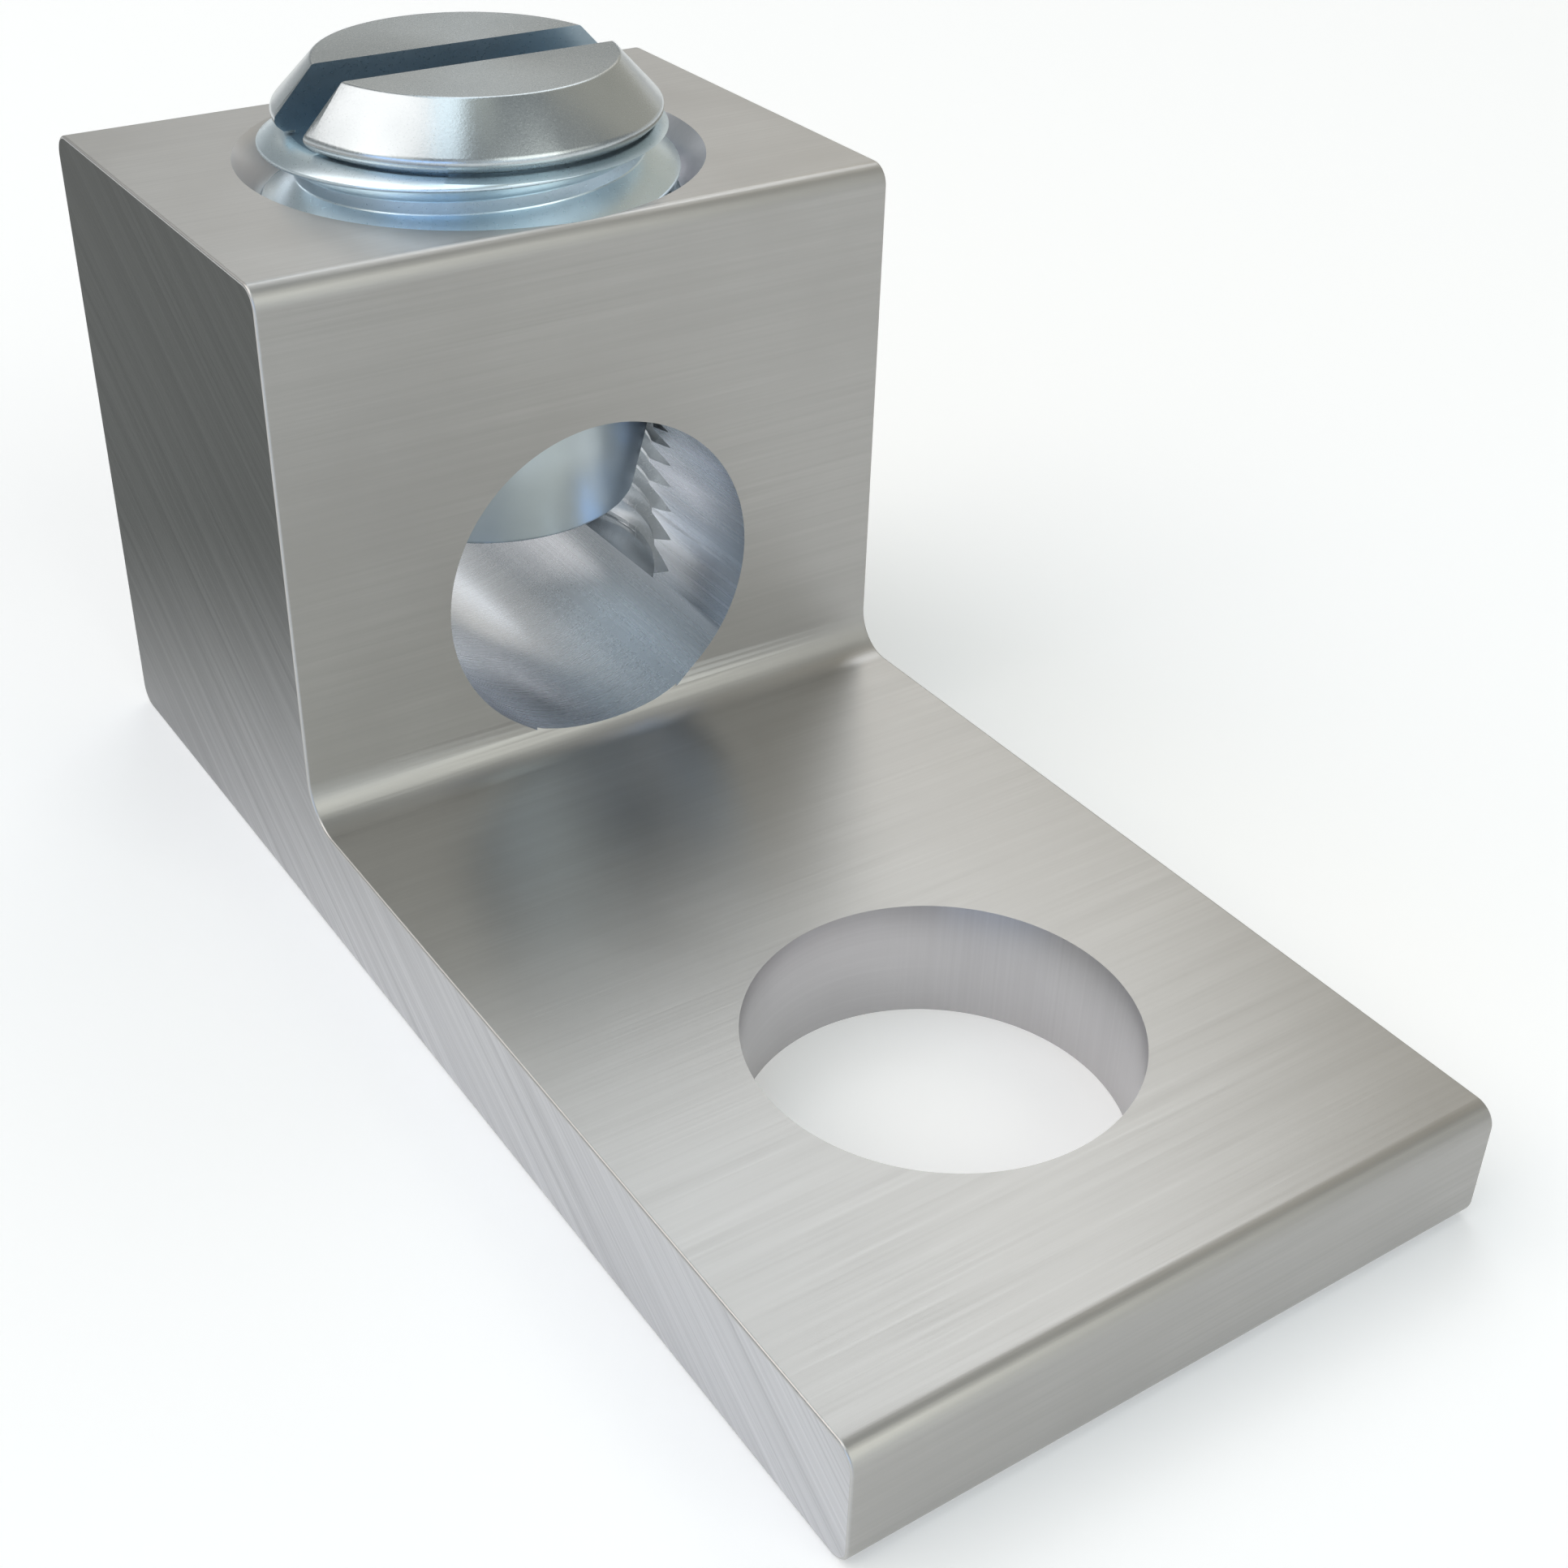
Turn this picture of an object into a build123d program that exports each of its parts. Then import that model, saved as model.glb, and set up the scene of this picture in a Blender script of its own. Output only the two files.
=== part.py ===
# Mechanical lug: a one-piece terminal body with a flat tongue, and the screw that clamps the wire.
# Millimetres, +Z up. The origin is on the bolt hole's axis, in the plane of the flat underside.
# X runs across the tongue, and Y runs along it, towards the block.

import os
from math import radians, tan

from build123d import *

# Driving dimensions of the extruded body
body_width = 12.7
body_height = 12.75
tongue_thickness = 2.4
tongue_end_to_bolt = 6.35
bolt_to_block = 11.15
block_length = 9.6
outer_corner_radius = 0.4
rear_top_radius = 0.5
inner_corner_radius = 0.8
side_edge_break = 0.04

# Driving dimensions of the holes
bolt_hole_diameter = 6.8
wire_bore_diameter = 6.5
bore_floor_step = 0.01
tap_drill_diameter = 6.8
countersink_diameter = 8.9
countersink_angle = 90
ledge_height = 3.785
tapping_runout = 0.28
hole_edge_break = 0.03

# Driving dimensions of the clamp screw
screw_setback = 4.7
thread_diameter = 7.94
thread_root_diameter = 6.64
thread_clearance = 0.05
thread_flank_angle = 30
screw_length = 8.68
screw_tip_height = 5.88
point_length = 1.5
point_diameter = 5.92
point_edge_round = 0.12
plain_shank_length = 3.0
head_diameter = 7.44
head_top_diameter = 5.68
head_seat_diameter = 7.0
head_height = 1.13
head_rim_height = 0.22
head_rim_round = 0.16
head_top_round = 0.1
slot_width = 1.27
slot_depth = 1.18

# Places that follow from the driving dimensions
tongue_end = -tongue_end_to_bolt
block_front = bolt_to_block
block_rear = block_front + block_length
screw_axis = block_front + screw_setback
bolt_hole_radius = bolt_hole_diameter / 2
wire_bore_radius = wire_bore_diameter / 2
bore_height = tongue_thickness + bore_floor_step + wire_bore_radius
thread_radius = thread_diameter / 2
root_radius = thread_root_diameter / 2
tapped_radius = thread_radius + thread_clearance
flank_height = (thread_radius - root_radius) * tan(radians(thread_flank_angle))
screw_top = screw_tip_height + screw_length
head_underside = screw_top - head_height


# The body is cut from an extruded L section, so its corners along X are rounded and its sides are flat
body_corners = [
    ((tongue_end, 0), outer_corner_radius),
    ((block_rear, 0), outer_corner_radius),
    ((block_rear, body_height), rear_top_radius),
    ((block_front, body_height), outer_corner_radius),
    ((block_front, tongue_thickness), inner_corner_radius),
    ((tongue_end, tongue_thickness), outer_corner_radius),
]

with BuildPart() as lug_body:
    with BuildSketch(Plane.YZ):
        with BuildLine():
            FilletPolyline(
                *[corner for corner, radius in body_corners],
                radius=[radius for corner, radius in body_corners],
                close=True,
            )
        make_face()
    extrude(amount=body_width / 2, both=True)

    # The saw leaves a fine break along the edges of the two side faces
    side_faces = lug_body.faces().filter_by(Axis.X)
    chamfer(side_faces.edges(), side_edge_break)

    # The bolt hole goes straight through the tongue
    with Locations((0, 0, tongue_thickness)):
        Hole(bolt_hole_radius, depth=tongue_thickness)
    bolt_hole_rims = lug_body.edges().filter_by(GeomType.CIRCLE).filter_by(
        lambda rim: abs(rim.radius - bolt_hole_radius) < hole_edge_break
    )
    chamfer(bolt_hole_rims, hole_edge_break)

    # The wire bore runs the length of the block, and its cutter also clears the inner corner's fillet
    bore_mouth = Plane(
        origin=(0, block_front - inner_corner_radius, bore_height),
        x_dir=(1, 0, 0),
        z_dir=(0, -1, 0),
    )
    with Locations(bore_mouth):
        Hole(wire_bore_radius, depth=inner_corner_radius + block_length)

    # The screw hole: a countersink, the tapped depth, and the drill's flat ledge below it in the bore's sides
    with Locations((0, screw_axis, body_height)):
        CounterSinkHole(
            tapped_radius,
            countersink_diameter / 2,
            depth=body_height - ledge_height - tapping_runout,
            counter_sink_angle=countersink_angle,
        )
        Hole(tap_drill_diameter / 2, depth=body_height - ledge_height)


# The clamp screw is turned: a plain coned point, the threaded length, a neck, and a tapered slotted head
plain_shank_top = screw_tip_height + plain_shank_length
point_top = screw_tip_height + point_length
shoulder_height = head_underside - flank_height
head_rim = head_underside + head_rim_height
screw_profile = [
    ((0, screw_tip_height), 0),
    ((point_diameter / 2, screw_tip_height), point_edge_round),
    ((root_radius, point_top), 0),
    ((root_radius, plain_shank_top), 0),
    ((thread_radius, plain_shank_top + flank_height), 0),
    ((thread_radius, shoulder_height), 0),
    ((root_radius, head_underside), 0),
    ((head_seat_diameter / 2, head_underside), 0),
    ((head_diameter / 2, head_rim), head_rim_round),
    ((head_top_diameter / 2, screw_top), head_top_round),
    ((0, screw_top), 0),
]
screw_plane = Plane(origin=(0, screw_axis, 0), x_dir=(1, 0, 0), z_dir=(0, -1, 0))

with BuildPart() as clamp_screw:
    with BuildSketch(screw_plane):
        with BuildLine():
            FilletPolyline(
                *[corner for corner, radius in screw_profile],
                radius=[radius for corner, radius in screw_profile],
                close=True,
            )
        make_face()
    revolve(axis=Axis((0, screw_axis, 0), (0, 0, 1)))

    # The driver slot crosses the head along X
    with BuildSketch(Plane.XY.offset(screw_top)):
        with Locations((0, screw_axis)):
            Rectangle(thread_diameter, slot_width)
    extrude(amount=-slot_depth, mode=Mode.SUBTRACT)


os.makedirs("parts", exist_ok=True)
lug_body.part.label = "lug_body"
export_step(lug_body.part, "parts/lug_body.step")
clamp_screw.part.label = "clamp_screw"
export_step(clamp_screw.part, "parts/clamp_screw.step")
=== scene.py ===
# %% [markdown]
# # A mechanical lug in bare aluminium, with its clamp screw
# A lug joins a stripped wire to a flat terminal. This one is an L shaped block cut from aluminium
# bar: a bolt goes through the hole in its tongue, the wire goes into the bore of its block, and a
# slotted screw presses the wire down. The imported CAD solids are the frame, and they stay the measure
# of everything here. This lesson dresses them: the body gets its tapped hole, its countersink and its
# fine edges, the screw gets a true thread, and both get the marks that cutting leaves on metal.

from math import acos, cos, degrees, pi, radians, sin, tan

import bmesh
import bpy
from mathutils import Matrix, Vector


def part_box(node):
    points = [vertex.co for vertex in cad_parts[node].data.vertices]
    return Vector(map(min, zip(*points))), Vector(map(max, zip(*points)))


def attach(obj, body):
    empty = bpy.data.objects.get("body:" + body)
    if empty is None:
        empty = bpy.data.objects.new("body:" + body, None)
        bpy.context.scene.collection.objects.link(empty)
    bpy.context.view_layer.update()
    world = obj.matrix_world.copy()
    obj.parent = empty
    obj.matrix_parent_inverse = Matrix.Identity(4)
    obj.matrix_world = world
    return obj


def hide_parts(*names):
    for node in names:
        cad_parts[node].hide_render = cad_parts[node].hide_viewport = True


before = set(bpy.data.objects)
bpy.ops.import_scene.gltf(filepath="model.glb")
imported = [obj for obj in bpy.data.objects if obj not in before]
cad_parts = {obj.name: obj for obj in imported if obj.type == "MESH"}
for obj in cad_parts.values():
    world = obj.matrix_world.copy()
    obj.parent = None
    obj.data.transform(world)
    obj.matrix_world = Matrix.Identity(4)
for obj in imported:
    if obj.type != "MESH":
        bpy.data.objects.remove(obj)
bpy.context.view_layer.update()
MM = 0.001


# %% [markdown]
# ## Outlines with rounded corners
# Both pieces start from an outline: the body's L is pushed across its width, and the screw's profile
# is turned about its axis. One helper rounds the corners of any outline. Each corner says its own
# radius, and a short arc takes its place. A bevel modifier could do it too, but only with one radius
# for every corner, and the real block has a larger one at its inner corner.

# %% A helper that rounds an outline's corners
def rounded(corners, closed, steps=6):
    """Corners are (a, b, radius). Returns (a, b) points, with an arc in place of each rounded corner."""
    points = []
    count = len(corners)
    for i, (a, b, radius) in enumerate(corners):
        at_end = not closed and i in (0, count - 1)
        if radius == 0 or at_end:
            points.append((a, b))
            continue
        here = Vector((a, b))
        back = (Vector(corners[i - 1][:2]) - here).normalized()
        ahead = (Vector(corners[(i + 1) % count][:2]) - here).normalized()
        half_angle = acos(max(-1, min(1, back.dot(ahead)))) / 2
        centre = here + (back + ahead).normalized() * radius / sin(half_angle)
        start = here + back * radius / tan(half_angle) - centre
        end = here + ahead * radius / tan(half_angle) - centre
        sweep = pi - 2 * half_angle
        for k in range(steps + 1):
            t = k / steps
            way = start * sin((1 - t) * sweep) + end * sin(t * sweep)
            points.append(tuple(centre + way / sin(sweep)))
    return points


square = [(0, 0, 1), (4, 0, 1), (4, 4, 1), (0, 4, 1)]
print("a square with rounded corners has", len(rounded(square, closed=True)), "points")


# %% [markdown]
# ## The body's sizes
# The outside sizes come from the box of the CAD node, so the dressed body stays where the solid is.
# Everything is worked out in millimetres, which suits cutting tools this small, and each finished
# mesh is scaled to metres once at its end. The corner radii are those of the extruded bar: small
# outside, larger in the inner corner, where a sharp one would crack.

# %% Sizes of the body
body_low, body_high = (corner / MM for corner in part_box("lug_body"))
half_width = (body_high.x - body_low.x) / 2
tongue_end = body_low.y
block_rear = body_high.y
body_height = body_high.z
tongue_thickness = 2.4
block_front = 11.15
outer_radius = 0.4
rear_top_radius = 0.5
inner_radius = 0.8
print("body", [round(v, 3) for v in (half_width * 2, block_rear - tongue_end, body_height)])


# %% The L of the body, with every face moved inwards by inset
def lug_outline(inset):
    return rounded(
        [
            (tongue_end + inset, inset, outer_radius - inset),
            (block_rear - inset, inset, outer_radius - inset),
            (block_rear - inset, body_height - inset, rear_top_radius - inset),
            (block_front + inset, body_height - inset, outer_radius - inset),
            (block_front + inset, tongue_thickness - inset, inner_radius + inset),
            (tongue_end + inset, tongue_thickness - inset, outer_radius - inset),
        ],
        closed=True,
        steps=10,
    )


print("outline points", len(lug_outline(0)))


# %% [markdown]
# ## Meshes from rings
# A pushed outline and a turned profile are both rows of rings with as many points each. Joining
# neighbouring rings with quads gives a clean surface, and the last rings are closed with a cap.
# Quads that run along and around a form take light more evenly than the fans of a primitive.

# %% A helper that joins rings into a closed skin
def ring_mesh(rings):
    """Rings of 3-D points, each closed on itself, joined one to the next and capped."""
    bm = bmesh.new()
    rows = [[bm.verts.new(p) for p in ring] for ring in rings]
    for lower, upper in zip(rows, rows[1:]):
        for i in range(len(lower)):
            j = (i + 1) % len(lower)
            bm.faces.new((lower[i], lower[j], upper[j], upper[i]))
    bm.faces.new(rows[0][::-1])
    bm.faces.new(rows[-1])
    bmesh.ops.remove_doubles(bm, verts=bm.verts[:], dist=1e-5)
    bmesh.ops.recalc_face_normals(bm, faces=bm.faces[:])
    return bm


def circle(radius, centre_y, z, sides):
    """A level ring about the upright line through (0, centre_y)."""
    angles = [2 * pi * i / sides for i in range(sides)]
    return [(radius * cos(a), centre_y + radius * sin(a), z) for a in angles]


print("a ring of eight points starts at", circle(1, 0, 0, 8)[0])


# %% A helper that turns such a mesh into an object
def as_object(bm, name, finishes=(), pick=0):
    """The finish of a face is number pick in the list, or pick says it for each face."""
    for face in bm.faces:
        face.material_index = pick(face) if callable(pick) else pick
    mesh = bpy.data.meshes.new(name)
    bm.to_mesh(mesh)
    bm.free()
    for finish in finishes:
        mesh.materials.append(finish)
    obj = bpy.data.objects.new(name, mesh)
    bpy.context.scene.collection.objects.link(obj)
    return obj


# %% [markdown]
# ## A true thread
# A thread isn't a stack of rings: its ridge climbs by one pitch each turn. The helper lays the
# ridge's section at every angle, higher by that angle's share of the pitch, so that the rows of
# points run along the helix. What would pass the ends of the threaded length is held at the end.
# The same helper makes the screw's thread and the tap that cuts the hole's thread.

# %% A helper for the columns of a thread
def threaded(section, pitch, start_z, start_angle, low, high, limit, sides):
    """One column of (radius, z) points for each angle, from low to high.

    The section is one pitch of (radius, dz) points. Its point dz = 0 is at start_z at start_angle,
    in degrees. The limit gives the largest radius allowed at a height."""
    columns = []
    turns_down = int((start_z - low) / pitch) + 3
    turns_up = int((high - start_z) / pitch) + 3
    for i in range(sides):
        angle = 2 * pi * i / sides
        climb = start_z + pitch * (degrees(angle) - start_angle) / 360
        line = []
        for k in range(-turns_down, turns_up + 1):
            for radius, dz in section:
                line.append((radius, climb + pitch * k + dz))
        for (r0, z0), (r1, z1) in zip(line, line[1:]):
            if z0 < low <= z1:
                low_radius = r0 + (r1 - r0) * (low - z0) / (z1 - z0)
            if z0 <= high < z1:
                high_radius = r0 + (r1 - r0) * (high - z0) / (z1 - z0)
        column = []
        for radius, z in line:
            if z <= low:
                radius, z = low_radius, low
            if z >= high:
                radius, z = high_radius, high
            column.append((min(radius, limit(z)), z))
        columns.append(column)
    return columns


# %% A helper that skins a thread
def helix_mesh(columns, per_pitch, centre_y, below, above):
    """Joins a thread's columns, with turned (radius, z) rings below and above it, into a closed skin.

    A row follows the helix, so after one turn it meets the row that is one pitch higher."""
    bm = bmesh.new()
    sides = len(columns)
    rows = []
    for row in range(len(columns[0])):
        line = []
        for i, column in enumerate(columns):
            radius, z = column[row]
            angle = 2 * pi * i / sides
            line.append(bm.verts.new((radius * cos(angle), centre_y + radius * sin(angle), z)))
        rows.append(line)
    last = len(rows) - 1
    for row in range(last):
        for i in range(sides):
            j = (i + 1) % sides
            shift = per_pitch if j == 0 else 0
            corners = []
            for v in (
                rows[row][i],
                rows[min(row + shift, last)][j],
                rows[min(row + 1 + shift, last)][j],
                rows[row + 1][i],
            ):
                if v not in corners:
                    corners.append(v)
            if len(corners) > 2:
                bm.faces.new(corners)
    for rings, previous in ((below, rows[0]), (above, rows[last])):
        for radius, z in rings:
            line = [bm.verts.new(p) for p in circle(radius, centre_y, z, sides)]
            for i in range(sides):
                j = (i + 1) % sides
                bm.faces.new((previous[i], previous[j], line[j], line[i]))
            previous = line
        bm.faces.new(previous)
    bmesh.ops.remove_doubles(bm, verts=bm.verts[:], dist=2e-5)
    bmesh.ops.dissolve_degenerate(bm, edges=bm.edges[:], dist=2e-5)
    bmesh.ops.recalc_face_normals(bm, faces=bm.faces[:])
    return bm


# %% [markdown]
# ## Shader building blocks
# Bare metal is told apart by its fine marks: the drawn lines of the bar, the slanting lines of the
# saw, the rings of the drill, the grain of zinc plating. They are all the same thing, a grain that
# is long one way and narrow the other, so one node group makes them all. It only hands out a value.
# Each material decides what that value does to its colour, its roughness and its surface.

# %% Helpers that add and join shader nodes
def feed(tree, socket, value):
    """Joins the socket to another one, or sets its own value."""
    if isinstance(value, bpy.types.NodeSocket):
        tree.links.new(value, socket)
    else:
        socket.default_value = value


def node(tree, kind, settings=None, **inputs):
    """Adds a node. An input is named with _ for a space, and gets a constant or a link."""
    made = tree.nodes.new("ShaderNode" + kind)
    for name, value in (settings or {}).items():
        setattr(made, name, value)
    for name, value in inputs.items():
        feed(tree, made.inputs[name.replace("_", " ")], value)
    return made


def maths(tree, operation, a, b=0.0):
    made = node(tree, "Math", {"operation": operation})
    feed(tree, made.inputs[0], a)
    feed(tree, made.inputs[1], b)
    return made.outputs[0]


def vectors(tree, operation, a, b=(0, 0, 0)):
    made = node(tree, "VectorMath", {"operation": operation})
    feed(tree, made.inputs[0], a)
    feed(tree, made.inputs["Scale"] if operation == "SCALE" else made.inputs[1], b)
    return made.outputs["Value" if operation == "DOT_PRODUCT" else "Vector"]


# %% Helpers for ranges and colours
def ramp(tree, value, low, high, at_low=0.0, at_high=1.0, kind="LINEAR"):
    """Carries a value from its range low to high over to the range at_low to at_high."""
    made = node(tree, "MapRange", {"interpolation_type": kind}, Value=value)
    for name, limit in (
        ("From Min", low),
        ("From Max", high),
        ("To Min", at_low),
        ("To Max", at_high),
    ):
        feed(tree, made.inputs[name], limit)
    return made.outputs["Result"]


def blend_colour(tree, factor, first, second):
    made = node(tree, "Mix", {"data_type": "RGBA"}, Factor=factor)
    for index, colour in ((6, first), (7, second)):
        feed(tree, made.inputs[index], (*colour, 1) if isinstance(colour, tuple) else colour)
    return made.outputs[2]


# %% A helper for shader groups
def new_group(name, inputs, output):
    """A shader group with named sockets. Returns its tree, its inputs and the socket to fill."""
    tree = bpy.data.node_groups.new(name, "ShaderNodeTree")
    for label, kind in inputs.items():
        tree.interface.new_socket(label, in_out="INPUT", socket_type="NodeSocket" + kind)
    tree.interface.new_socket(output, in_out="OUTPUT", socket_type="NodeSocketFloat")
    entry = tree.nodes.new("NodeGroupInput")
    leave = tree.nodes.new("NodeGroupOutput")
    return tree, entry.outputs, leave.inputs[output]


def use_group(tree, group, output, **inputs):
    made = node(tree, "Group", {"node_tree": group}, **inputs)
    return made.outputs[output]


# %% [markdown]
# ### Three effects that the finishes share
# The first group is the grain. It squeezes a noise across the direction that it is given, so each
# finish chooses how long and how narrow its marks are. The second is a slow change of tone, as stock
# and fingers leave on bare metal. The third finds the rounded edges from the normal alone, since a
# normal that is square to no axis can only be on an edge of this block.

# %% Group: a grain that is long one way and narrow the other
grain_group, given, result = new_group(
    "stretched_grain",
    {"Position": "Vector", "Direction": "Vector", "Along": "Float", "Across": "Float"},
    "Grain",
)
along = maths(grain_group, "DIVIDE", 1.0, given["Along"])
across = maths(grain_group, "DIVIDE", 1.0, given["Across"])
reach = vectors(grain_group, "DOT_PRODUCT", given["Position"], given["Direction"])
extra = maths(grain_group, "MULTIPLY", reach, maths(grain_group, "SUBTRACT", along, across))
stretched = vectors(
    grain_group,
    "ADD",
    vectors(grain_group, "SCALE", given["Position"], across),
    vectors(grain_group, "SCALE", given["Direction"], extra),
)
streaks = node(grain_group, "TexNoise", Vector=stretched, Scale=1.0, Detail=3.0, Roughness=0.6)
feed(grain_group, result, streaks.outputs["Fac"])
print("group", grain_group.name, [item.name for item in grain_group.interface.items_tree])

# %% Group: the slow unevenness that handling and stock leave on metal
tone_group, given, result = new_group("uneven_tone", {"Position": "Vector", "Size": "Float"}, "Tone")
spread = vectors(tone_group, "SCALE", given["Position"], maths(tone_group, "DIVIDE", 1.0, given["Size"]))
slow = node(tone_group, "TexNoise", Vector=spread, Scale=1.0, Detail=2.0, Roughness=0.5)
feed(tone_group, result, ramp(tone_group, slow.outputs["Fac"], 0.3, 0.7))
print("group", tone_group.name)

# %% Group: the edges that handling and tumbling rub bright
edge_group, given, result = new_group("rubbed_edge", {"Normal": "Vector"}, "Edge")
sides = node(edge_group, "SeparateXYZ", Vector=vectors(edge_group, "ABSOLUTE", given["Normal"]))
level = maths(edge_group, "MAXIMUM", sides.outputs["Y"], sides.outputs["Z"])
squareness = maths(edge_group, "MAXIMUM", sides.outputs["X"], level)
feed(edge_group, result, ramp(edge_group, squareness, 0.995, 0.9))
print("group", edge_group.name)


# %% [markdown]
# ## Metal that its marks give a direction
# Fine lines blur a reflection across them and hardly along them. That is why a brushed face shows
# soft bands that cross its lines, and a turned cone shows a fan of light. The Principled shader has
# this as Anisotropic, a constant on its own socket, and a Tangent that says which way the marks run.
# The bump adds the lines themselves, only a few thousandths of a millimetre deep.

# %% Helpers for a metal with its own marks
def start_metal(name, stretch):
    """A bare metal: its material, tree and shader, the place on it in millimetres, and its normal."""
    mat = bpy.data.materials.new(name)
    mat.use_nodes = True
    tree = mat.node_tree
    shader = tree.nodes["Principled BSDF"]
    shader.inputs["Metallic"].default_value = 1
    shader.inputs["Anisotropic"].default_value = stretch
    shader.inputs["Anisotropic Rotation"].default_value = 0.25
    place = node(tree, "TexCoord")
    position = vectors(tree, "SCALE", place.outputs["Object"], 1 / MM)
    return mat, tree, shader, position, place.outputs["Normal"]


def lay_marks(tree, shader, run):
    """Turns the gloss so that it is blurred across the marks, which run along the vector run."""
    settings = {"vector_type": "VECTOR", "convert_from": "OBJECT", "convert_to": "WORLD"}
    turn = node(tree, "VectorTransform", settings, Vector=run)
    feed(tree, shader.inputs["Tangent"], turn.outputs["Vector"])


def round_axis(tree, position, axis, centre):
    """The way round an axis at each place, which is how a turning or boring tool leaves its marks."""
    arm = vectors(tree, "SUBTRACT", position, centre)
    return vectors(tree, "CROSS_PRODUCT", axis, arm)


def surface(tree, shader, colour, roughness, height, depth):
    """Joins the worked out colour, roughness and relief to the metal's shader."""
    feed(tree, shader.inputs["Base Color"], colour)
    feed(tree, shader.inputs["Roughness"], roughness)
    bump = node(tree, "Bump", Strength=1.0, Distance=depth, Height=height)
    feed(tree, shader.inputs["Normal"], bump.outputs["Normal"])


# %% [markdown]
# ## Drawn faces
# The top, front and end of the real body keep the skin of the bar, finished by a belt that ran
# across the width. Its lines are 2 to 5 mm long and under a tenth of a millimetre wide. Two grains,
# a fine one and a broader one, make them, and a slow tone lets them come and go. The upright faces
# are rougher than the flat ones, which lie under the belt, and their colour is darkened: painted
# shade, for the darker surroundings that upright faces reflect.

# %% Brushed aluminium of the drawn faces
def drawn_finish(name, dull, bright, roughness, depth):
    mat, tree, shader, position, normal = start_metal(name, 0.7)
    width_way = (1, 0, 0)
    lay_marks(tree, shader, width_way)
    lines = use_group(
        tree, grain_group, "Grain", Position=position, Direction=width_way, Along=5.0, Across=0.07
    )
    scratches = use_group(
        tree, grain_group, "Grain", Position=position, Direction=width_way, Along=9.0, Across=0.26
    )
    marks = maths(tree, "ADD", lines, maths(tree, "MULTIPLY", scratches, 0.8))
    tone = use_group(tree, tone_group, "Tone", Position=position, Size=2.6)
    presence = ramp(tree, tone, 0, 1, 0.35, 1.0)
    streak = maths(tree, "MULTIPLY", ramp(tree, marks, 0.6, 1.2, -1.0, 1.0), presence)
    shade = maths(tree, "ADD", maths(tree, "MULTIPLY", tone, 0.4), ramp(tree, streak, -1, 1, 0, 0.6))
    facing = node(tree, "SeparateXYZ", Vector=vectors(tree, "ABSOLUTE", normal))
    upright = ramp(tree, facing.outputs["Y"], 0.5, 1.0)
    even = blend_colour(tree, shade, dull, bright)
    # Painted shade: the colour of the upright faces is scaled down to 0.88.
    colour = vectors(tree, "SCALE", even, ramp(tree, upright, 0, 1, 1.0, 0.88))
    edge = use_group(tree, edge_group, "Edge", Normal=normal)
    rubbed = blend_colour(tree, maths(tree, "MULTIPLY", edge, 0.3), colour, (0.55, 0.54, 0.52))
    wear = ramp(tree, tone, 0, 1, -0.015, 0.015)
    uneven = maths(tree, "ADD", wear, ramp(tree, streak, -1, 1, 0.02, -0.02))
    matt = maths(tree, "ADD", ramp(tree, upright, 0, 1, 0, 0.14), roughness)
    surface(tree, shader, rubbed, maths(tree, "ADD", uneven, matt), marks, depth)
    return mat


brushed = drawn_finish("brushed_aluminium", (0.475, 0.465, 0.45), (0.565, 0.555, 0.54), 0.34, 2.4e-6)
print("finish", brushed.name)


# %% [markdown]
# ## Sawn sides
# The bar was cut to the body's width by a saw, whose strokes cross the sides at about 33 degrees and
# run nearly from edge to edge. The side's colour is painted much darker high on the block than on
# the tongue, by a slanting measure of height: painted shade, which stands in for the dark that the
# side reflects there. One picture can't tell whether that is the metal or the light on it. Here it
# is in the finish, by a slanting measure of height. The grain's streaks vary the colour itself,
# because these lines are seen even where nothing is reflected.

# %% Sawn aluminium of the two sides
def sawn_finish(name, slant, roughness, depth):
    mat, tree, shader, position, _ = start_metal(name, 0.6)
    stroke = (0, cos(slant), sin(slant))
    lay_marks(tree, shader, stroke)
    lines = use_group(
        tree, grain_group, "Grain", Position=position, Direction=stroke, Along=12.0, Across=0.06
    )
    strokes = use_group(
        tree, grain_group, "Grain", Position=position, Direction=stroke, Along=16.0, Across=0.22
    )
    marks = maths(tree, "ADD", lines, strokes)
    place = node(tree, "SeparateXYZ", Vector=position)
    behind_front = maths(tree, "SUBTRACT", place.outputs["Y"], block_front)
    climb = maths(tree, "ADD", place.outputs["Z"], maths(tree, "MULTIPLY", behind_front, 0.42))
    # Painted shade: the side's colour darkens high on the block and towards its rear.
    painted_shade = ramp(tree, climb, -1.3, 9.0, kind="SMOOTHSTEP")
    shaded_colour = blend_colour(tree, painted_shade, (0.68, 0.675, 0.68), (0.135, 0.14, 0.135))
    colour = vectors(tree, "SCALE", shaded_colour, ramp(tree, marks, 0.7, 1.3, 0.86, 1.14))
    rough = maths(tree, "ADD", ramp(tree, lines, 0, 1, -0.04, 0.04), roughness)
    surface(tree, shader, colour, rough, marks, depth)
    shader.inputs["Specular Tint"].default_value = (0.55, 0.55, 0.55, 1)
    return mat


sawn = sawn_finish("sawn_aluminium", radians(33), 0.38, 3e-6)
print("finish", sawn.name)
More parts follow.
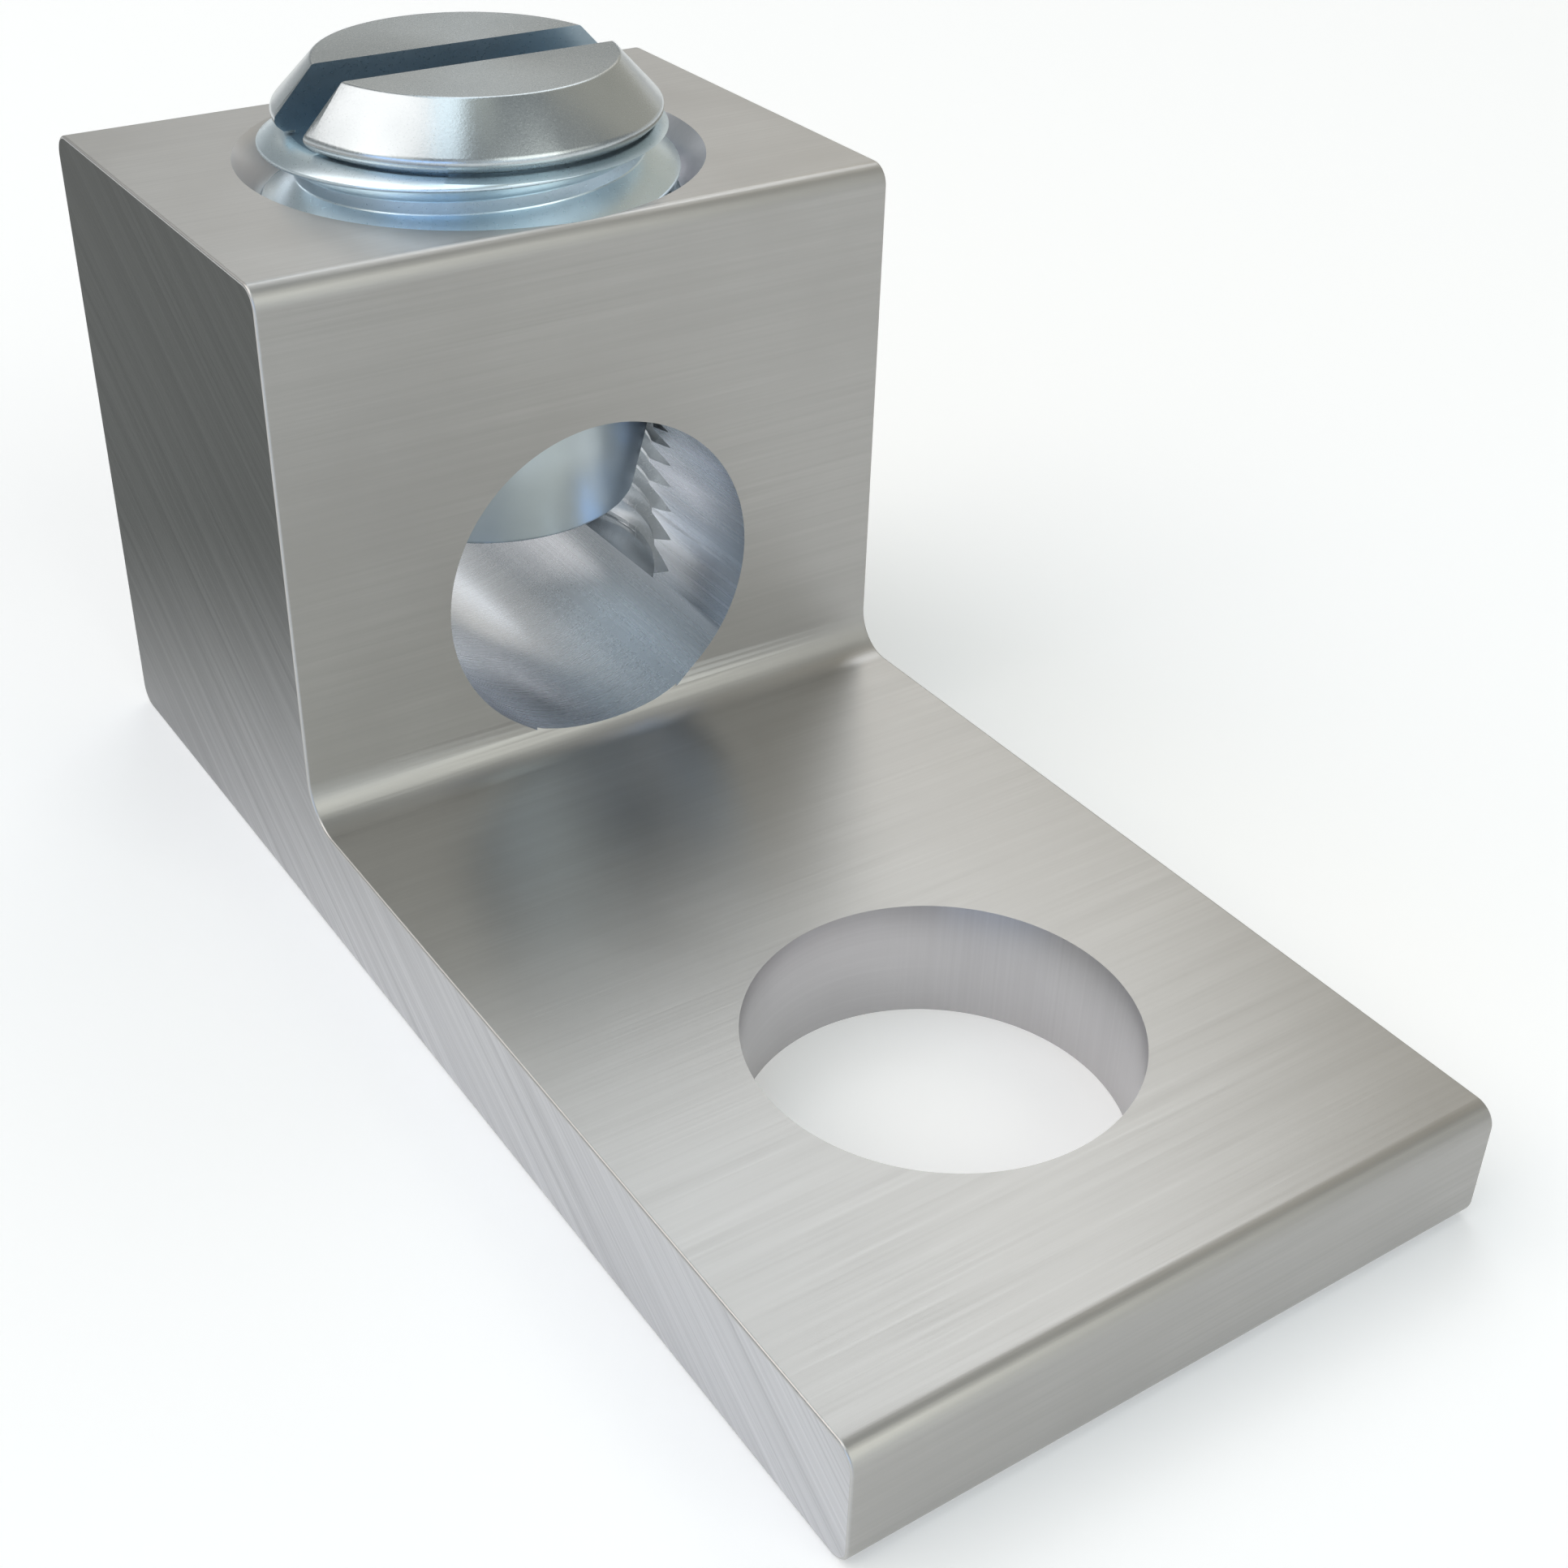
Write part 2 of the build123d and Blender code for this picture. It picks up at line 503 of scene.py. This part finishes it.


# %% [markdown]
# ## Bored, tapped and drilled walls
# A boring tool leaves very fine rings round its axis, and fine scores along the wall where it is
# drawn back, which in the real bore lie on one side. Both come from the same grain, turned by 90
# degrees. The colours of the bore and the tapped wall are lifted well above the outside's: painted
# light, which stands in for light reaching into these holes. The countersink is lighter than the
# outside too. The tapped wall keeps hardly any relief: on the real lug its flanks are smooth and its
# edges crisp.

# %% Walls cut by a tool that turns
def bored_finish(name, dull, bright, axis, centre, spacing, roughness, depth):
    mat, tree, shader, position, normal = start_metal(name, 0.5)
    lay_marks(tree, shader, round_axis(tree, position, axis, centre))
    rings = use_group(
        tree, grain_group, "Grain", Position=position, Direction=axis, Along=spacing, Across=30.0
    )
    scores = use_group(
        tree, grain_group, "Grain", Position=position, Direction=axis, Along=20.0, Across=0.07
    )
    facing = node(tree, "SeparateXYZ", Vector=normal)
    scored = ramp(tree, facing.outputs["X"], -0.2, -0.7, kind="SMOOTHSTEP")
    ring_marks = maths(tree, "MULTIPLY", rings, ramp(tree, scored, 0, 1, 1.0, 0.1))
    score_marks = maths(tree, "MULTIPLY", scores, ramp(tree, scored, 0, 1, 0.05, 0.9))
    marks = maths(tree, "ADD", ring_marks, score_marks)
    tone = use_group(tree, tone_group, "Tone", Position=position, Size=1.7)
    shade = maths(tree, "ADD", ramp(tree, marks, 0.25, 0.75, 0, 0.6), maths(tree, "MULTIPLY", tone, 0.4))
    colour = blend_colour(tree, shade, dull, bright)
    rough = maths(tree, "ADD", ramp(tree, marks, 0.3, 0.7, -0.02, 0.02), roughness)
    surface(tree, shader, colour, rough, marks, depth)
    return mat


# %% [markdown]
# ## Zinc plating
# The screw is steel with bright zinc plating, which is a little bluer than aluminium and has a very
# fine sparkle. Its head is turned, so its marks run round the axis. The rolled thread is smooth and
# bright, and its colour is lifted further and made cyan: painted light and painted reflection, for
# the light that its grooves shut out. The slot is smoother, and its colour is darker and bluer:
# painted shade in its recess. The point is matt, as if from pressing on wire. One function makes all
# four, because only their colour, roughness and depth of grain differ.

# %% Zinc plate over turned steel
def plated_finish(name, dull, bright, centre, roughness, depth):
    mat, tree, shader, position, _ = start_metal(name, 0.6)
    upright = (0, 0, 1)
    lay_marks(tree, shader, round_axis(tree, position, upright, centre))
    sparkle = use_group(
        tree, grain_group, "Grain", Position=position, Direction=upright, Along=0.035, Across=0.045
    )
    tone = use_group(tree, tone_group, "Tone", Position=position, Size=1.3)
    colour = blend_colour(tree, tone, dull, bright)
    rough = maths(tree, "ADD", ramp(tree, sparkle, 0.2, 0.8, -0.05, 0.05), roughness)
    surface(tree, shader, colour, rough, sparkle, depth)
    return mat


# %% [markdown]
# ## The blank of the body
# The blank is the bar after the saw: the L outline, pushed across the width. Its two long sides have
# a very small broken edge, as a deburring brush leaves it. The outline is laid at stations across
# the width, inset along a quarter circle near each side, so the broken edge is real geometry.

# %% Blank of the body, without its holes
DRAWN, SAWN, BORED, TAPPED, DRILLED, COUNTERSUNK = range(6)
side_break = 0.05
break_steps = 4
stations = []
for k in range(break_steps + 1):
    turn = radians(90) * (1 - k / break_steps)
    stations.append((half_width - side_break * (1 - sin(turn)), side_break * (1 - cos(turn))))
across_width = [(-x, inset) for x, inset in stations] + [(x, inset) for x, inset in reversed(stations)]
blank = ring_mesh([[(x, y, z) for y, z in lug_outline(inset)] for x, inset in across_width])
print("blank has", len(blank.faces), "faces")

# %% [markdown]
# ## The bolt hole
# The hole in the tongue takes the terminal's bolt. It is round and plain, and its centre is the
# origin of the whole model, so its cutter is a tall cylinder round the origin.

# %% Cutter of the bolt hole
bolt_hole_radius = 3.4
hole_sides = 192
past_the_face = 1
bolt_levels = (-past_the_face, tongue_thickness + past_the_face)
bolt_cutter_bm = ring_mesh([circle(bolt_hole_radius, 0, z, hole_sides) for z in bolt_levels])
print("bolt hole", bolt_hole_radius * 2, "mm across")

# %% [markdown]
# ## The wire bore
# The bore runs through the block along its length. It is lower than the block's middle, and its
# lowest part grazes the rounded inner corner, where it leaves a thin curved lip on the tongue. The
# lip is cut out of the bore's own cutter with a small block, whose end is curved as the lip is.

# %% Cutter of the bore
bore_radius = 3.25
bore_height = 5.66
bore_rings = []
for y in (block_front - inner_radius - past_the_face, block_rear + past_the_face):
    level_ring = circle(bore_radius, 0, 0, hole_sides)
    bore_rings.append([(x, y, bore_height + up) for x, up, _ in level_ring])
bore_cutter_bm = ring_mesh(bore_rings)
print("bore", bore_radius * 2, "mm across, its axis", bore_height, "mm up")

# %% Block that leaves the lip at the foot of the bore
lip_half_width = 1.6
lip_reach = 0.585
lip_curve = 17.5
lip_start = block_front - 2
lip_outline = [(lip_half_width, lip_start), (-lip_half_width, lip_start)]
lip_points = 16
for k in range(lip_points):
    x = lip_half_width * (2 * k / (lip_points - 1) - 1)
    lip_outline.append((x, block_front - inner_radius + lip_reach + x * x / lip_curve))
lip_levels = (bore_height - bore_radius - past_the_face, tongue_thickness + 0.6)
lip_bm = ring_mesh([[(x, y, z) for x, y in lip_outline] for z in lip_levels])
print("lip", lip_half_width * 2, "mm wide")

# %% [markdown]
# ## The screw hole
# From the top down the screw hole is countersunk, plain, and tapped where it breaks into the bore:
# there the ridges of the thread show as a row of teeth beside the screw. Their pitch is the one seen
# in the photograph, about half the screw's own, though a real screw and its hole share one pitch.
# The hole ends in the flat ledge of the tap drill. One tool makes it all: a threaded length with
# turned rings below and above it.

# %% Sizes of the screw hole
screw_low, screw_high = (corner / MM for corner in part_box("clamp_screw"))
screw_axis = (screw_low.y + screw_high.y) / 2
thread_radius = 3.97
hole_radius = thread_radius + 0.01
tap_drill_radius = 3.4
tap_groove_radius = 3.76
tap_pitch = 0.525
drill_ledge = 3.785
countersink_radius = 4.45
countersink_foot = body_height - 0.8
print("screw hole at y", round(screw_axis, 3))

# %% Cutter of the screw hole
half_groove = (tap_groove_radius - tap_drill_radius) * tan(radians(30))
groove = [
    (tap_drill_radius, -half_groove - 0.01),
    (tap_drill_radius + 0.012, -half_groove),
    (tap_groove_radius - 0.02, -0.018),
    (tap_groove_radius, 0.0),
    (tap_groove_radius - 0.02, 0.018),
    (tap_drill_radius + 0.012, half_groove),
    (tap_drill_radius, half_groove + 0.01),
]
first_groove = 4.069
first_groove_angle = 324
tap_top = 7.5
tap_columns = threaded(
    groove,
    tap_pitch,
    first_groove,
    first_groove_angle,
    low=drill_ledge + 0.02,
    high=tap_top,
    limit=lambda z: countersink_radius,
    sides=160,
)
screw_hole_bm = helix_mesh(
    tap_columns,
    len(groove),
    screw_axis,
    below=[(tap_drill_radius, drill_ledge)],
    above=[
        (tap_drill_radius, tap_top + 0.02),
        (hole_radius, tap_top + 0.5),
        (hole_radius, countersink_foot),
        (countersink_radius, body_height),
        (countersink_radius + 0.3, body_height + 0.5),
    ],
)
print("screw hole cutter has", len(screw_hole_bm.faces), "faces")

# %% [markdown]
# ## The body's finishes, face by face
# A boolean keeps the finish of the cutter's faces on the walls that it cuts. So each cutter carries
# the finish that its real tool would leave, with the painted light of the bore and the tapped wall,
# and the body needs no painting afterwards.

# %% Finishes of the cut walls
screw_centre = (0, screw_axis, 0)
# Painted light: the bore's colours are lifted well above the outside's.
bored = bored_finish(
    "bored_aluminium_painted_light",
    (0.72, 0.75, 0.80),
    (0.83, 0.86, 0.91),
    axis=(0, 1, 0),
    centre=(0, 0, bore_height),
    spacing=0.09,
    roughness=0.27,
    depth=1.1e-6,
)
# Painted light: the tapped wall's colours are lifted above the outside's.
tapped = bored_finish(
    "tapped_aluminium_painted_light",
    (0.62, 0.65, 0.67),
    (0.70, 0.73, 0.76),
    axis=(0, 0, 1),
    centre=screw_centre,
    spacing=0.1,
    roughness=0.26,
    depth=0.3e-6,
)
drilled = bored_finish(
    "drilled_aluminium",
    (0.50, 0.49, 0.50),
    (0.58, 0.57, 0.58),
    axis=(0, 0, 1),
    centre=(0, 0, 0),
    spacing=0.12,
    roughness=0.32,
    depth=1.2e-6,
)
countersunk = bored_finish(
    "countersunk_aluminium",
    (0.71, 0.72, 0.76),
    (0.79, 0.80, 0.84),
    axis=(0, 0, 1),
    centre=screw_centre,
    spacing=0.08,
    roughness=0.3,
    depth=1e-6,
)
body_finishes = [brushed, sawn, bored, tapped, drilled, countersunk]
print("body finishes", [mat.name for mat in body_finishes])


# %% Body and cutters as objects
def outside_finish(face):
    return SAWN if abs(face.normal.x) > 0.99 else DRAWN


def screw_hole_finish(face):
    in_countersink = face.calc_center_median().z > countersink_foot
    return COUNTERSUNK if in_countersink else TAPPED


lug = as_object(blank, "lug", body_finishes, outside_finish)
bolt_cutter = as_object(bolt_cutter_bm, "bolt_cutter", body_finishes, DRILLED)
bore_cutter = as_object(bore_cutter_bm, "bore_cutter", body_finishes, BORED)
lip_block = as_object(lip_bm, "lip_block", body_finishes, BORED)
screw_hole_cutter = as_object(screw_hole_bm, "screw_hole_cutter", body_finishes, screw_hole_finish)
print("cutters", [c.name for c in (bolt_cutter, bore_cutter, lip_block, screw_hole_cutter)])


# %% [markdown]
# ## Cutting
# The order is one that a workshop could follow: the screw hole is drilled, countersunk and tapped
# from the top, the wire bore then cuts through its teeth, and the bolt hole comes last. The exact
# solver keeps thin slivers such as the teeth closed. Each cut is made final at once, so the next one
# sees plain mesh.

# %% Cut the holes
def cut(target, cutter):
    """Takes the cutter out of the target for good, and removes the cutter."""
    tool = target.modifiers.new("cut", "BOOLEAN")
    tool.operation = "DIFFERENCE"
    tool.solver = "EXACT"
    tool.object = cutter
    bpy.context.view_layer.update()
    graph = bpy.context.evaluated_depsgraph_get()
    mesh = bpy.data.meshes.new_from_object(target.evaluated_get(graph))
    target.modifiers.clear()
    target.data = mesh
    bpy.data.objects.remove(cutter)


cut(bore_cutter, lip_block)
for cutter in (screw_hole_cutter, bore_cutter, bolt_cutter):
    cut(lug, cutter)
print("lug faces", len(lug.data.polygons))


# %% [markdown]
# ## Rims
# A cut edge on a real part is never perfectly sharp: a deburring tool leaves a narrow bright line
# round each hole. The rims are found by the finishes that meet there, and only they are bevelled,
# by a few hundredths of a millimetre. The teeth stay crisp, because no tool reaches them in the bore.

# %% Soften the rims of the holes
def soften(obj, chosen, width):
    """Bevels the chosen edges of the object by the width."""
    bm = bmesh.new()
    bm.from_mesh(obj.data)
    edges = [e for e in bm.edges if len(e.link_faces) == 2 and chosen(e)]
    bmesh.ops.bevel(
        bm,
        geom=edges,
        offset=width,
        offset_type="OFFSET",
        segments=2,
        profile=0.5,
        affect="EDGES",
        clamp_overlap=True,
        material=-1,
    )
    bm.to_mesh(obj.data)
    bm.free()
    print(obj.name, "softened", len(edges), "edges")


def hole_rim(edge):
    kinds = {f.material_index for f in edge.link_faces}
    return len(kinds) == 2 and DRAWN in kinds and SAWN not in kinds


soften(lug, hole_rim, 0.025)

# %% [markdown]
# ## The screw's thread
# The thread is right-handed, 24 to the inch, with flanks at 60 degrees and a narrow flat crest. Its
# phase matters, because the top turn shows above the block: the crest's height and the angle where
# it faces the viewer place it. It tapers out at its lead-in and stops at a short neck under the head.

# %% Sizes of the screw
HEAD, SLOT, THREAD, POINT = range(4)
screw_tip = screw_low.z
screw_top = screw_high.z
thread_root_radius = 3.32
thread_pitch = 25.4 / 24
head_underside = screw_top - 1.13
neck_radius = 3.28
thread_top = head_underside - 0.06
lead_in = 9.45
point_end = lead_in + 0.4
screw_sides = 360
print("screw", [round(v, 3) for v in (screw_axis, screw_tip, screw_top)])

# %% Section and columns of the thread
flank = (thread_radius - thread_root_radius) * tan(radians(30))
crest_half = 0.035
thread_section = [
    (thread_root_radius, -thread_pitch / 2),
    (thread_root_radius, -crest_half - flank - 0.015),
    (thread_root_radius + 0.015, -crest_half - flank + 0.01),
    (thread_radius - 0.026, -crest_half - 0.015),
    (thread_radius - 0.007, -crest_half + 0.006),
    (thread_radius, -crest_half + 0.022),
    (thread_radius, crest_half - 0.022),
    (thread_radius - 0.007, crest_half - 0.006),
    (thread_radius - 0.026, crest_half + 0.015),
    (thread_root_radius + 0.015, crest_half + flank - 0.01),
    (thread_root_radius, crest_half + flank + 0.015),
]
crest_height = 13.295
crest_angle = 243.8
thread_columns = threaded(
    thread_section,
    thread_pitch,
    crest_height,
    crest_angle,
    low=lead_in,
    high=thread_top,
    limit=lambda z: thread_root_radius + max(0, z - lead_in),
    sides=screw_sides,
)
print("thread has", round((thread_top - lead_in) / thread_pitch, 1), "turns")

# %% [markdown]
# ## The screw's head and point
# The head is a short cone with a rounded lower rim, and the point is a plain blunt cone with a soft
# shoulder. They are turned rings that carry on from the thread, so the screw is one closed skin.

# %% Screw with its head and point
seat_radius = 3.5
head_radius = 3.72
head_rim = head_underside + 0.2
head_top_radius = 2.84
cone_start = 7.38
tip_radius = 2.96
point_profile = rounded(
    [
        (thread_root_radius, lead_in, 0),
        (thread_root_radius, cone_start, 3.0),
        (tip_radius, screw_tip, 0.12),
        (0, screw_tip, 0),
    ],
    closed=False,
)
head_profile = rounded(
    [
        (seat_radius, head_underside, 0),
        (head_radius, head_rim, 0.15),
        (head_top_radius, screw_top, 0.1),
        (0, screw_top, 0),
    ],
    closed=False,
)
neck = [(neck_radius, thread_top + 0.02), (neck_radius, head_underside)]
screw_bm = helix_mesh(
    thread_columns,
    len(thread_section),
    screw_axis,
    below=point_profile[1:-1],
    above=neck + head_profile[:-1],
)
print("screw skin has", len(screw_bm.faces), "faces, its head", head_radius * 2, "mm across")

# %% [markdown]
# ## The screw's finishes, face by face
# The whole screw is plated in one bath, yet its parts look different: partly because each was made
# in its own way before, partly by painted light on the thread and painted shade in the slot. The
# height of a face is enough to tell thread, point and head apart.

# %% Finishes of the screw
turned_zinc = plated_finish(
    "turned_zinc", (0.51, 0.55, 0.57), (0.56, 0.60, 0.62), screw_centre, 0.25, 1.4e-6
)
# Painted shade: the slot's colour is darker and bluer than the head's.
slot_zinc_painted_shade = plated_finish(
    "slot_zinc_painted_shade", (0.34, 0.43, 0.50), (0.38, 0.47, 0.54), screw_centre, 0.3, 3e-7
)
# Painted light and painted reflection: the thread's colour is lifted and cyan.
rolled_zinc_painted_light = plated_finish(
    "rolled_zinc_painted_light", (0.71, 0.83, 0.89), (0.77, 0.88, 0.94), screw_centre, 0.3, 1.3e-6
)
point_zinc = plated_finish(
    "point_zinc", (0.60, 0.67, 0.70), (0.64, 0.71, 0.74), screw_centre, 0.42, 1e-6
)
screw_finishes = [turned_zinc, slot_zinc_painted_shade, rolled_zinc_painted_light, point_zinc]


def screw_finish(face):
    height = face.calc_center_median().z
    if height < point_end:
        return POINT
    return THREAD if height < head_underside - 0.01 else HEAD


screw = as_object(screw_bm, "screw", screw_finishes, screw_finish)
print("screw finishes", [mat.name for mat in screw_finishes])

# %% [markdown]
# ## The driver slot
# A saw cuts the slot right across the head, a little deeper than the head is high, so its floor lies
# in the neck. A block does the same here, and the slot's upper edges get a narrow bevel as the rims
# of the holes did.

# %% Driver slot
slot_width = 1.27
slot_depth = 1.18
above_head = 1
slot_height = slot_depth + above_head
slot_middle = screw_top + (above_head - slot_depth) / 2
slot_length = 12
slot_place = Matrix.Translation((0, screw_axis, slot_middle))
slot_size = Matrix.Diagonal((slot_length, slot_width, slot_height, 1))
slot_bm = bmesh.new()
bmesh.ops.create_cube(slot_bm, size=1, matrix=slot_place @ slot_size)
cut(screw, as_object(slot_bm, "slot_cutter", screw_finishes, SLOT))


def slot_rim(edge):
    kinds = {f.material_index for f in edge.link_faces}
    above_seat = min(v.co.z for v in edge.verts) > head_underside + 0.02
    return above_seat and kinds == {HEAD, SLOT}


soften(screw, slot_rim, 0.03)
print("screw faces", len(screw.data.polygons))


# %% [markdown]
# ## Shading, size and riding
# Smooth shading with sharp edges kept by angle makes the rounds flow and the flats stay flat, and
# weighted normals stop the narrow bevels from bending the light on the large faces. Then each mesh
# goes from millimetres to metres, and each piece hides the node that it stands for and rides with
# its body.

# %% Shade, scale and hand over
def finish_piece(obj, node_name, body):
    mesh = obj.data
    mesh.transform(Matrix.Scale(MM, 4))
    for polygon in mesh.polygons:
        polygon.use_smooth = True
    mesh.set_sharp_from_angle(angle=radians(28))
    weighted = obj.modifiers.new("weighted", "WEIGHTED_NORMAL")
    weighted.keep_sharp = True
    weighted.weight = 60
    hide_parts(node_name)
    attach(obj, body)
    print(obj.name, "stands for", node_name, "and rides on", body)


finish_piece(lug, "lug_body", "root")
finish_piece(screw, "clamp_screw", "screw")

# %% [markdown]
# ## Floor
# The lug stands on a round sheet of white paper, whose edge curves up all round, so that a low view
# meets paper too and not the end of the floor. The paper is matt and takes the shadow. A weak glow,
# which only the camera and the metal's reflections see, lifts it to the white of the photograph
# without putting more light on the lug.

# %% Paper floor with its raised edge, in metres
floor_radius = 0.7
edge_height = 0.13
edge_steps = 10
floor_sides = 96
edge_profile = [(floor_radius - 0.02, 0), (floor_radius, 0)]
for k in range(1, edge_steps + 1):
    turn = radians(90) * k / edge_steps
    edge_profile.append((floor_radius + edge_height * sin(turn), edge_height * (1 - cos(turn))))
floor_bm = bmesh.new()
inner = []
for radius, z in edge_profile:
    ring = [floor_bm.verts.new(p) for p in circle(radius, 0, z, floor_sides)]
    if not inner:
        floor_bm.faces.new(ring)
    for i in range(len(inner)):
        j = (i + 1) % floor_sides
        floor_bm.faces.new((inner[i], ring[i], ring[j], inner[j]))
    inner = ring
floor = as_object(floor_bm, "floor")
for polygon in floor.data.polygons:
    polygon.use_smooth = True
print("floor", floor_radius * 2, "m across, its edge", edge_height, "m high")
paper = bpy.data.materials.new("pale_paper")
paper.use_nodes = True
tree = paper.node_tree
sheet = tree.nodes["Principled BSDF"]
sheet.inputs["Base Color"].default_value = (0.93, 0.93, 0.93, 1)
sheet.inputs["Roughness"].default_value = 0.9
sheet.inputs["Specular IOR Level"].default_value = 0.1
seen = node(tree, "LightPath")
direct = maths(tree, "MAXIMUM", seen.outputs["Is Camera Ray"], seen.outputs["Is Glossy Ray"])
mask = maths(tree, "MAXIMUM", direct, seen.outputs["Is Transmission Ray"])
glow = node(tree, "Emission", Color=(1, 1, 1, 1), Strength=maths(tree, "MULTIPLY", mask, 0.16))
both = node(tree, "AddShader")
tree.links.new(sheet.outputs["BSDF"], both.inputs[0])
tree.links.new(glow.outputs["Emission"], both.inputs[1])
tree.links.new(both.outputs["Shader"], tree.nodes["Material Output"].inputs["Surface"])
floor.data.materials.append(paper)

# %% [markdown]
# ## Light
# Metal shows what stands round it, so soft boxes do most of the work. Each is placed by the
# direction it is seen in from the lug, and by how wide and high it looks from there, as a lighting
# plan has it. The big warm ones make the sheen of the tongue and the left of the head, cooler and
# low ones give the thin blue lines on the left edges, and the one overhead lights the thread.

# %% World
world = bpy.data.worlds.new("studio")
bpy.context.scene.world = world
world.use_nodes = True
sky = world.node_tree.nodes["Background"]
sky.inputs["Color"].default_value = (0.95, 1.0, 1.0, 1)
sky.inputs["Strength"].default_value = 0.28
print("world strength", round(sky.inputs["Strength"].default_value, 2))


# %% A helper for soft boxes
lamp_distance = 0.4
lamp_aim = Vector((0, 0.007, 0.005))


def soft_box(name, azimuth, elevation, width, height, strength, colour):
    """A soft box, placed and sized by angles in degrees seen from the lug."""
    a = radians(azimuth)
    e = radians(elevation)
    way = Vector((cos(a) * cos(e), sin(a) * cos(e), sin(e)))
    data = bpy.data.lights.new(name, "AREA")
    data.shape = "RECTANGLE"
    data.size = 2 * lamp_distance * tan(radians(width / 2))
    data.size_y = 2 * lamp_distance * tan(radians(height / 2))
    data.energy = strength * pi * data.size * data.size_y
    data.color = colour
    lamp = bpy.data.objects.new(name, data)
    lamp.location = lamp_aim + way * lamp_distance
    lamp.rotation_euler = (-way).to_track_quat("-Z", "Y").to_euler()
    lamp.visible_camera = False
    bpy.context.scene.collection.objects.link(lamp)


# %% Soft boxes
soft_box("left_low", 208, 12, 52, 18, 2.0, (0.33, 0.57, 1))
soft_box("left_high", 152, 52, 54, 43, 1.6, (1, 0.94, 0.91))
soft_box("left_middle", 185, 35, 40, 24, 0.62, (1, 0.98, 0.85))
soft_box("front_left", 250, 30, 40, 30, 0.3, (0.9, 0.96, 1))
soft_box("front_low", 270, 12, 40, 16, 0.66, (0.62, 0.82, 1))
soft_box("front_right", 282, 35, 34, 34, 1.45, (0.98, 1, 0.93))
soft_box("front_middle", 305, 31, 36, 20, 0.55, (1, 0.98, 0.88))
soft_box("right_fill", 21, 35, 56, 62, 0.21, (1, 0.83, 0.55))
soft_box("back_right", 51, 48, 28, 22, 1.65, (0.89, 0.94, 1))
soft_box("back_low", 65, 26, 38, 14, 0.6, (1, 0.92, 0.81))
soft_box("overhead", 146, 82, 66, 14, 1.4, (0.8, 0.92, 1))
soft_box("overhead_front", 235, 80, 24, 18, 0.3, (1, 1, 0.8))

# %% [markdown]
# ## Camera
# The photograph looks down at the lug from its left front, from close by. The camera's place and its
# line of sight were worked out from the straight edges of the block and the tongue, with the lens
# held at 50 mm.

# %% Camera
camera_data = bpy.data.cameras.new("camera")
camera_data.lens = 50
camera_data.sensor_width = 36
camera_data.clip_start = 0.001
camera = bpy.data.objects.new("camera", camera_data)
bpy.context.scene.collection.objects.link(camera)
station = Vector((-0.018229, -0.021256, 0.025932))
forward = Vector((0.4753, 0.68058, -0.55758))
up = Vector((0.29333, 0.47491, 0.82971))
right = forward.cross(up)
rotation = Matrix((right, up, -forward)).transposed()
camera.matrix_world = Matrix.Translation(station) @ rotation.to_4x4()
bpy.context.scene.camera = camera
print("camera stands", round(station.length / MM, 1), "mm from the bolt hole's centre")

# %% View settings
bpy.context.scene.view_settings.view_transform = "Standard"
print("view transform", bpy.context.scene.view_settings.view_transform)
